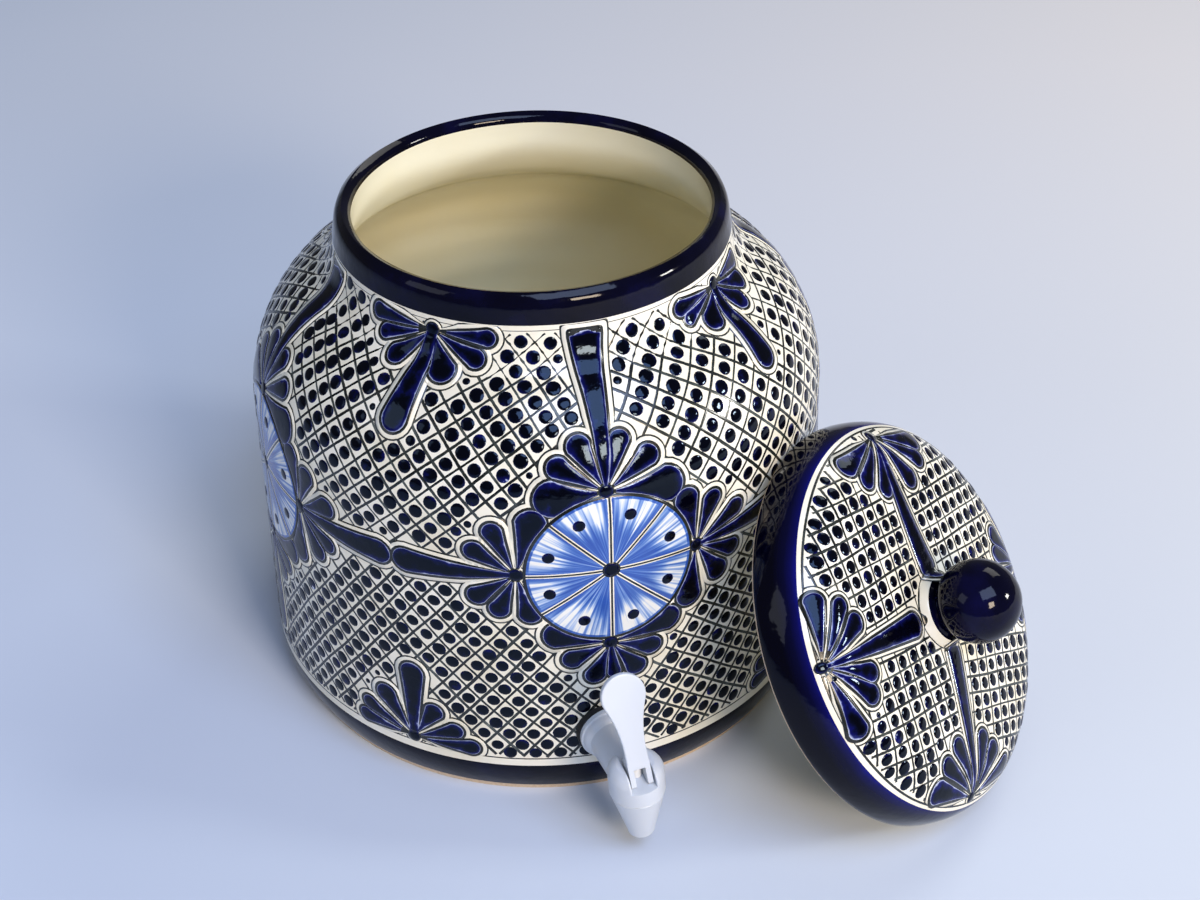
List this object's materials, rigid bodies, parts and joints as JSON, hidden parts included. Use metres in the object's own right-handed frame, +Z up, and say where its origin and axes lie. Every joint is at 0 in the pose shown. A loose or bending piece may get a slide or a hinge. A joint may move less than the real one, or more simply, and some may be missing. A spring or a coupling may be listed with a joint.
{
  "type": "clay water pot with tap",
  "caption": "Broad glazed clay water pot with a short collar, a loose domed lid leaning beside it, and a white lever tap low on its side.",
  "frame": {"origin": "centre of the pot's foot, on the surface it stands on", "axes": "+Z up along the pot's axis; -Y is the front, where the tap points; +X is to the right, where the lid leans"},
  "size_m": [0.3872, 0.352, 0.2558],
  "materials": {
    "pot_glaze": "glossy cream glaze painted in cobalt",
    "lid_glaze": "glossy cream glaze painted in cobalt",
    "tap_plastic": "injection moulded, satin gloss",
    "stem_plastic": "injection moulded acetal",
    "black_rubber": "matt",
    "silicone": "moulded, translucent white",
    "stainless_steel": "drawn wire"
  },
  "bodies": {
    "root": {"pot_body": "pot_glaze", "tap_body": "tap_plastic", "tap_bonnet": "tap_plastic", "return_spring": "stainless_steel", "outer_washer": "black_rubber", "inner_washer": "black_rubber", "shank_nut": "tap_plastic"},
    "stem": {"valve_stem": "stem_plastic", "stem_o_ring": "black_rubber", "seat_plug": "silicone"},
    "lever": {"tap_lever": "tap_plastic", "lever_pin": "stainless_steel"},
    "lid": {"lid": "lid_glaze"}
  },
  "joints": [
    {"name": "stem_lift", "type": "slide", "parent": "root", "child": "stem", "axis": [-0.0685, -0.0205, 0.9974], "range_m": [0, 0.005], "stiffness_N_per_m": 300, "springref_m": -0.006, "deforming": ["return_spring"]},
    {"name": "lever_tip", "type": "hinge", "parent": "stem", "child": "lever", "pos_m": [0.03772, -0.18062, 0.05657], "axis": [0.9554, 0.2866, 0.0715], "range_deg": [0, 45]},
    {"name": "lid_lift", "type": "slide", "parent": "root", "child": "lid", "axis": [0.6989, -0.4283, 0.5729], "range_m": [0, 0.12]}
  ],
  "couplings": [
    {"joint": "lever_tip", "follows": "stem_lift", "rad_per_m": 157.07}
  ]
}
